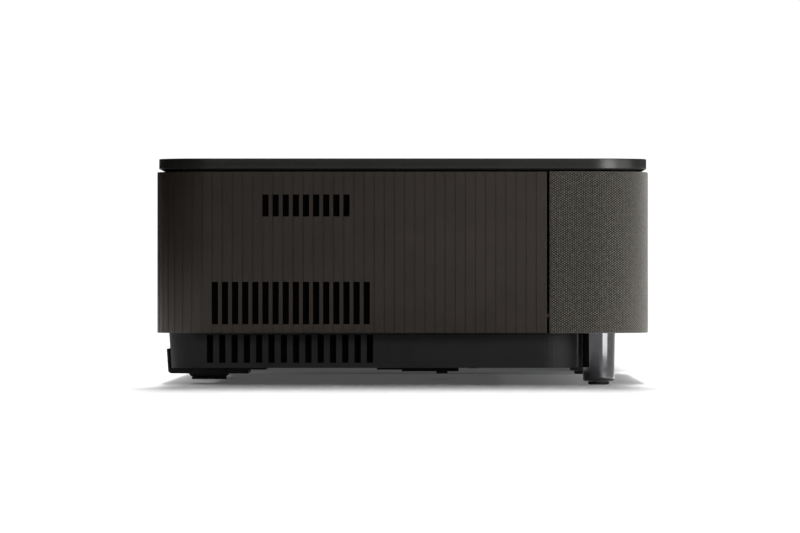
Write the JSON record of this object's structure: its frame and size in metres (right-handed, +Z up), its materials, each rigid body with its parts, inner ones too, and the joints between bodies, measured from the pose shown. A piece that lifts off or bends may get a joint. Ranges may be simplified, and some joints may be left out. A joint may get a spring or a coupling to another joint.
{
  "type": "home projector",
  "caption": "Low table-top ultra-short-throw projector with a ribbed vented wrap, a cloth speaker grille, a floating lid with a sliding lens shutter, and levelling feet.",
  "frame": {"origin": "on the table under the centre of the cabinet", "axes": "+Z up, cloth speaker front faces -Y, the screen wall is beyond +Y, width runs along X"},
  "size_m": [0.695, 0.341, 0.1565],
  "materials": {
    "wrap_plastic": "satin, ribbed",
    "grille_cloth": "fine woven",
    "lid_plastic": "satin",
    "black_plastic": "matte",
    "clear_glass": "polished",
    "white_plastic": "matte",
    "steel": "plated",
    "mirror_coating": "polished",
    "aluminium": "cast",
    "phosphor": "powder coated",
    "copper": "copper",
    "circuit_board": "solder mask",
    "leg_metal": "dark polished",
    "rubber": "matte"
  },
  "bodies": {
    "cabinet": {"base_chassis": "black_plastic", "underside_hatch": "black_plastic", "rear_wrap_cover": "wrap_plastic", "grille_frame": "black_plastic", "grille_fabric": "grille_cloth", "top_deck": "black_plastic", "top_lid": "lid_plastic", "status_window": "clear_glass", "shutter_motor": "steel", "lens_well": "black_plastic", "projection_window": "clear_glass", "projection_mirror": "mirror_coating", "lens_barrel": "black_plastic", "front_lens": "clear_glass", "focus_motor": "steel", "prism_block": "clear_glass", "lcd_red": "steel", "lcd_green": "steel", "lcd_blue": "steel", "laser_module": "aluminium", "wheel_motor": "steel", "laser_heatsink": "aluminium", "heat_pipe": "copper", "exhaust_fan_frame": "black_plastic", "intake_fan_frame": "black_plastic", "main_board": "circuit_board", "processor_heatsink": "aluminium", "power_supply": "steel", "io_panel": "black_plastic", "hdmi_port_1": "steel", "hdmi_port_2": "steel", "usb_port": "steel", "power_inlet": "black_plastic", "speaker_box_left": "black_plastic", "speaker_box_right": "black_plastic", "woofer_left": "rubber", "woofer_right": "rubber", "tweeter_left": "steel", "tweeter_right": "steel", "front_leg_left": "leg_metal", "front_leg_right": "leg_metal", "rear_foot": "black_plastic", "rear_foot_sole": "rubber", "rear_bracket_left": "black_plastic", "rear_bracket_right": "black_plastic"},
    "shutter": {"lens_shutter": "lid_plastic", "shutter_rack": "white_plastic"},
    "shutter_gear": {"shutter_pinion": "white_plastic"},
    "focus_gear": {"focus_ring": "white_plastic"},
    "focus_drive": {"focus_pinion": "white_plastic"},
    "colour_wheel": {"phosphor_wheel": "phosphor"},
    "exhaust_rotor": {"exhaust_fan_rotor": "black_plastic"},
    "intake_rotor": {"intake_fan_rotor": "black_plastic"},
    "filter_drawer": {"filter_cover": "wrap_plastic", "air_filter": "white_plastic"},
    "power_key": {"power_button": "black_plastic"},
    "front_foot_left": {"front_pad_left": "rubber"},
    "front_screw_left": {"front_stud_left": "steel"},
    "front_foot_right": {"front_pad_right": "rubber"},
    "front_screw_right": {"front_stud_right": "steel"}
  },
  "joints": [
    {"name": "shutter_slide", "type": "slide", "parent": "cabinet", "child": "shutter", "axis": [0, 1, 0], "range_m": [0, 0.104]},
    {"name": "shutter_pinion_spin", "type": "hinge", "parent": "cabinet", "child": "shutter_gear", "pos_m": [0.14795, 0.028, 0.15125], "axis": [0, 0, 1], "range_deg": [-663, 0]},
    {"name": "focus_ring_turn", "type": "hinge", "parent": "cabinet", "child": "focus_gear", "pos_m": [0, -0.006, 0.072], "axis": [0, 1, 0], "range_deg": [-30, 30]},
    {"name": "focus_pinion_spin", "type": "hinge", "parent": "cabinet", "child": "focus_drive", "pos_m": [0.036, -0.005, 0.072], "axis": [0, 1, 0], "range_deg": [-90.5, 90.5]},
    {"name": "phosphor_wheel_spin", "type": "hinge", "parent": "cabinet", "child": "colour_wheel", "pos_m": [-0.062, 0.09, 0.072], "axis": [1, 0, 0], "continuous": true},
    {"name": "exhaust_fan_spin", "type": "hinge", "parent": "cabinet", "child": "exhaust_rotor", "pos_m": [-0.3236, 0.078, 0.086], "axis": [1, 0, 0], "continuous": true},
    {"name": "intake_fan_spin", "type": "hinge", "parent": "cabinet", "child": "intake_rotor", "pos_m": [0.3126, 0.076, 0.086], "axis": [1, 0, 0], "continuous": true},
    {"name": "filter_drawer_slide", "type": "slide", "parent": "cabinet", "child": "filter_drawer", "axis": [1, 0, 0], "range_m": [0, 0.05]},
    {"name": "power_button_press", "type": "slide", "parent": "cabinet", "child": "power_key", "axis": [-1, 0, 0], "range_m": [0, 0.0012], "stiffness_N_per_m": 2500},
    {"name": "front_pad_slide_left", "type": "slide", "parent": "cabinet", "child": "front_foot_left", "axis": [0, 0, -1], "range_m": [0, 0.008]},
    {"name": "front_stud_turn_left", "type": "hinge", "parent": "front_foot_left", "child": "front_screw_left", "pos_m": [-0.318, -0.136, 0.0015], "axis": [0, 0, -1], "range_deg": [0, 1925]},
    {"name": "front_pad_slide_right", "type": "slide", "parent": "cabinet", "child": "front_foot_right", "axis": [0, 0, -1], "range_m": [0, 0.008]},
    {"name": "front_stud_turn_right", "type": "hinge", "parent": "front_foot_right", "child": "front_screw_right", "pos_m": [0.318, -0.136, 0.0015], "axis": [0, 0, -1], "range_deg": [0, 1925]}
  ],
  "couplings": [
    {"joint": "shutter_pinion_spin", "follows": "shutter_slide", "rad_per_m": -111.11},
    {"joint": "focus_pinion_spin", "follows": "focus_ring_turn", "ratio": -3},
    {"joint": "front_stud_turn_left", "follows": "front_pad_slide_left", "rad_per_m": 4188.8},
    {"joint": "front_stud_turn_right", "follows": "front_pad_slide_right", "rad_per_m": 4188.8}
  ]
}
